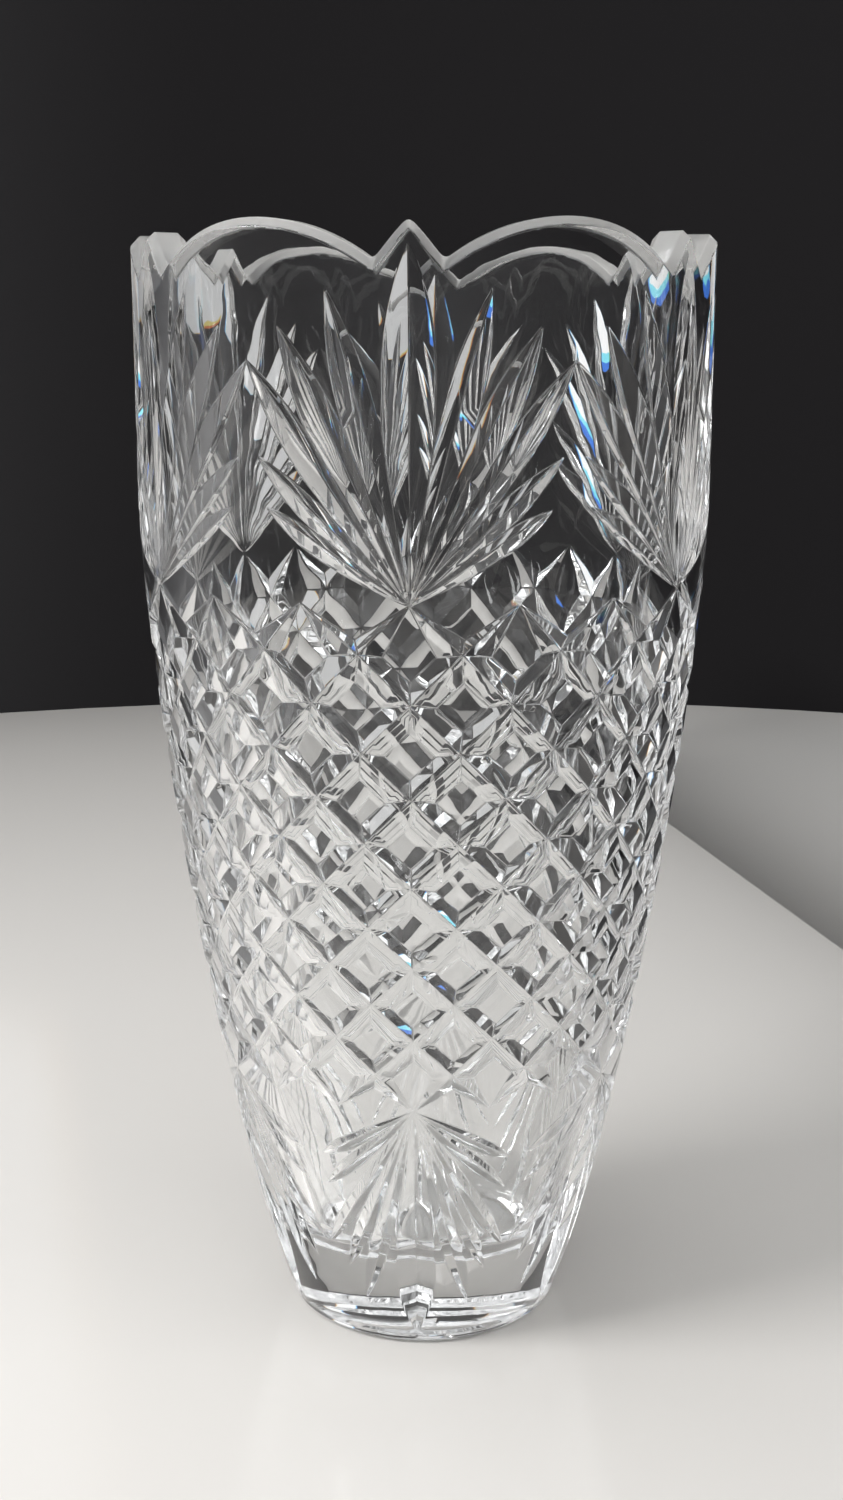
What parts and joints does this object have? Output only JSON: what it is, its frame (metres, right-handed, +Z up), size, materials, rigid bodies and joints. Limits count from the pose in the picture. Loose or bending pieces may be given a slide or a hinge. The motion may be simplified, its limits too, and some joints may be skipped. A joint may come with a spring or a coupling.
{
  "type": "flower vase",
  "caption": "Tall tapering clear crystal vase with a scalloped rim, fans of cut rays, a band of cut diamonds and a thick solid base.",
  "frame": {"origin": "centre of the flat ring that the vase stands on", "axes": "+Z up along the vase's axis, -Y out through the middle of one fan of rays, +X to the right of that fan"},
  "size_m": [0.1282, 0.1282, 0.25],
  "materials": {
    "crystal": "clear colourless lead crystal, cut and polished"
  },
  "bodies": {
    "root": {"vase_body": "crystal"}
  },
  "joints": []
}
